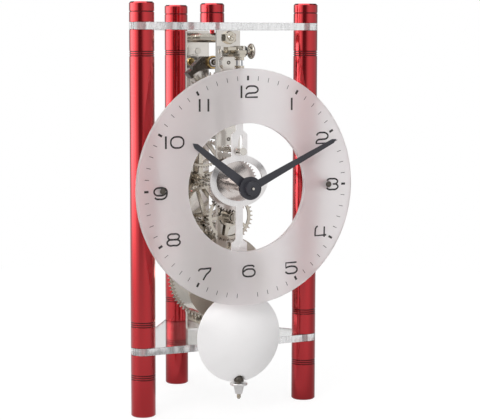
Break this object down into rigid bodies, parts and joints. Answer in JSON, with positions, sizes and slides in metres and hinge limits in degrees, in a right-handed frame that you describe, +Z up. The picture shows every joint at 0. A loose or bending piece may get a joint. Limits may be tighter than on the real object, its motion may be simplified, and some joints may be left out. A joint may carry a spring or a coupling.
{
  "type": "desk pendulum clock",
  "caption": "Skeleton desk clock: red posts and clear triangular plates round a narrow open movement, with a ring dial and a front pendulum.",
  "frame": {"origin": "on the table, under the middle of the clock's width and depth", "axes": "+Z up, +Y to the rear, +X to the right of someone reading the dial"},
  "size_m": [0.142, 0.1228, 0.25],
  "materials": {
    "red_anodised": "red anodised, satin",
    "clear_acrylic": "clear, polished edges",
    "frosted_acrylic": "frosted, translucent, with printed marks",
    "nickel_plate": "nickel plated, polished",
    "nickel_wheel": "nickel plated brass, polished",
    "polished_steel": "polished",
    "dark_steel": "dark, hardened",
    "brass": "polished",
    "spring_steel": "blued grey, thin",
    "satin_nickel_rod": "satin nickel",
    "satin_bob": "satin, circular grain",
    "anthracite": "anthracite satin"
  },
  "bodies": {
    "frame": {"foot_left": "red_anodised", "foot_right": "red_anodised", "foot_rear": "red_anodised", "post_left": "red_anodised", "post_right": "red_anodised", "post_rear": "red_anodised", "cap_left": "red_anodised", "cap_right": "red_anodised", "cap_rear": "red_anodised", "cap_centre": "red_anodised", "bottom_plate": "clear_acrylic", "top_plate": "clear_acrylic", "frame_studs": "red_anodised", "front_plate": "nickel_plate", "back_plate": "nickel_plate", "pillar_upper": "nickel_plate", "pillar_lower": "nickel_plate", "pillar_nuts": "nickel_plate", "anchor_bush": "brass", "plate_studs": "nickel_plate", "click_spring": "spring_steel", "suspension_bracket": "nickel_plate", "dial_ring": "frosted_acrylic", "dial_standoff_left": "red_anodised", "dial_standoff_right": "red_anodised", "dial_screws": "dark_steel"},
    "beat_screw": {"beat_spindle": "polished_steel", "beat_knob": "nickel_plate"},
    "suspension": {"suspension_carriage": "nickel_plate", "suspension_springs": "spring_steel"},
    "pendulum": {"suspension_block_lower": "satin_nickel_rod", "pendulum_rod": "satin_nickel_rod", "rating_rod": "polished_steel", "bob_hook": "satin_nickel_rod"},
    "bob": {"bob_front": "satin_bob", "bob_back": "satin_bob"},
    "rating": {"rating_nut": "satin_nickel_rod"},
    "anchor_and_crutch": {"anchor": "dark_steel", "anchor_collet": "brass", "anchor_arbor": "polished_steel", "crutch": "dark_steel"},
    "escape": {"escape_wheel": "nickel_wheel", "escape_arbor": "polished_steel"},
    "third": {"third_wheel": "nickel_wheel", "third_arbor": "polished_steel"},
    "centre": {"centre_wheel": "nickel_wheel", "centre_arbor": "polished_steel"},
    "second": {"second_wheel": "nickel_wheel", "second_arbor": "polished_steel"},
    "spring_barrel": {"barrel": "nickel_wheel", "mainspring": "spring_steel"},
    "winding": {"barrel_arbor": "polished_steel", "ratchet_wheel": "nickel_wheel"},
    "click_pawl": {"click": "polished_steel"},
    "minute_motion": {"cannon_pinion": "nickel_wheel", "minute_hand": "anthracite", "hand_nut": "anthracite"},
    "minute_reduction": {"minute_wheel": "nickel_wheel"},
    "hour_motion": {"hour_wheel": "nickel_wheel", "hour_hand": "anthracite"}
  },
  "joints": [
    {"name": "beat_screw_turn", "type": "hinge", "parent": "frame", "child": "beat_screw", "pos_m": [0, -0.0306, 0.2207], "axis": [1, 0, 0], "range_deg": [-360, 360]},
    {"name": "suspension_shift", "type": "slide", "parent": "frame", "child": "suspension", "axis": [1, 0, 0], "range_m": [-0.0005, 0.0005]},
    {"name": "pendulum_swing", "type": "hinge", "parent": "suspension", "child": "pendulum", "pos_m": [0, -0.0416, 0.2138], "axis": [0, 1, 0], "range_deg": [-3, 3], "deforming": ["suspension_springs"]},
    {"name": "rating_nut_turn", "type": "hinge", "parent": "bob", "child": "rating", "pos_m": [0, -0.0416, 0.0177], "axis": [0, 0, 1], "range_deg": [-720, 720]},
    {"name": "bob_slide", "type": "slide", "parent": "pendulum", "child": "bob", "axis": [0, 0, 1], "range_m": [-0.001, 0.001]},
    {"name": "anchor_rock", "type": "hinge", "parent": "frame", "child": "anchor_and_crutch", "pos_m": [0, 0, 0.2138], "axis": [0, 1, 0], "range_deg": [-3, 3]},
    {"name": "third_wheel_turn", "type": "hinge", "parent": "frame", "child": "third", "pos_m": [0, 0, 0.1673], "axis": [0, 1, 0], "continuous": true},
    {"name": "escape_wheel_turn", "type": "hinge", "parent": "frame", "child": "escape", "pos_m": [0, 0, 0.189], "axis": [0, 1, 0], "continuous": true},
    {"name": "centre_wheel_turn", "type": "hinge", "parent": "frame", "child": "centre", "pos_m": [0, 0, 0.1398], "axis": [0, 1, 0], "continuous": true},
    {"name": "second_wheel_turn", "type": "hinge", "parent": "frame", "child": "second", "pos_m": [0, 0, 0.1127], "axis": [0, 1, 0], "continuous": true},
    {"name": "barrel_turn", "type": "hinge", "parent": "frame", "child": "spring_barrel", "pos_m": [0, 0, 0.0807], "axis": [0, 1, 0], "continuous": true},
    {"name": "winding_turn", "type": "hinge", "parent": "frame", "child": "winding", "pos_m": [0, 0, 0.0807], "axis": [0, 1, 0], "continuous": true},
    {"name": "click_lift", "type": "hinge", "parent": "frame", "child": "click_pawl", "pos_m": [-0.0046, 0.0228, 0.0942], "axis": [0, -1, 0], "range_deg": [0, 8], "stiffness_Nm_per_rad": 0.0005, "springref_deg": -5.73},
    {"name": "minute_hand_turn", "type": "hinge", "parent": "frame", "child": "minute_motion", "pos_m": [0, 0, 0.1398], "axis": [0, 1, 0], "continuous": true},
    {"name": "minute_wheel_turn", "type": "hinge", "parent": "frame", "child": "minute_reduction", "pos_m": [0, 0, 0.12], "axis": [0, 1, 0], "continuous": true},
    {"name": "hour_hand_turn", "type": "hinge", "parent": "frame", "child": "hour_motion", "pos_m": [0, 0, 0.1398], "axis": [0, 1, 0], "continuous": true}
  ],
  "couplings": [
    {"joint": "beat_screw_turn", "follows": "suspension_shift", "rad_per_m": -12566},
    {"joint": "anchor_rock", "follows": "pendulum_swing", "ratio": 1},
    {"joint": "rating_nut_turn", "follows": "bob_slide", "rad_per_m": 12566},
    {"joint": "escape_wheel_turn", "follows": "third_wheel_turn", "ratio": -11},
    {"joint": "centre_wheel_turn", "follows": "third_wheel_turn", "ratio": -0.1},
    {"joint": "second_wheel_turn", "follows": "third_wheel_turn", "ratio": 0.013889},
    {"joint": "barrel_turn", "follows": "third_wheel_turn", "ratio": -0.0019841},
    {"joint": "minute_wheel_turn", "follows": "minute_hand_turn", "ratio": -0.33333},
    {"joint": "hour_hand_turn", "follows": "minute_hand_turn", "ratio": 0.083333}
  ]
}
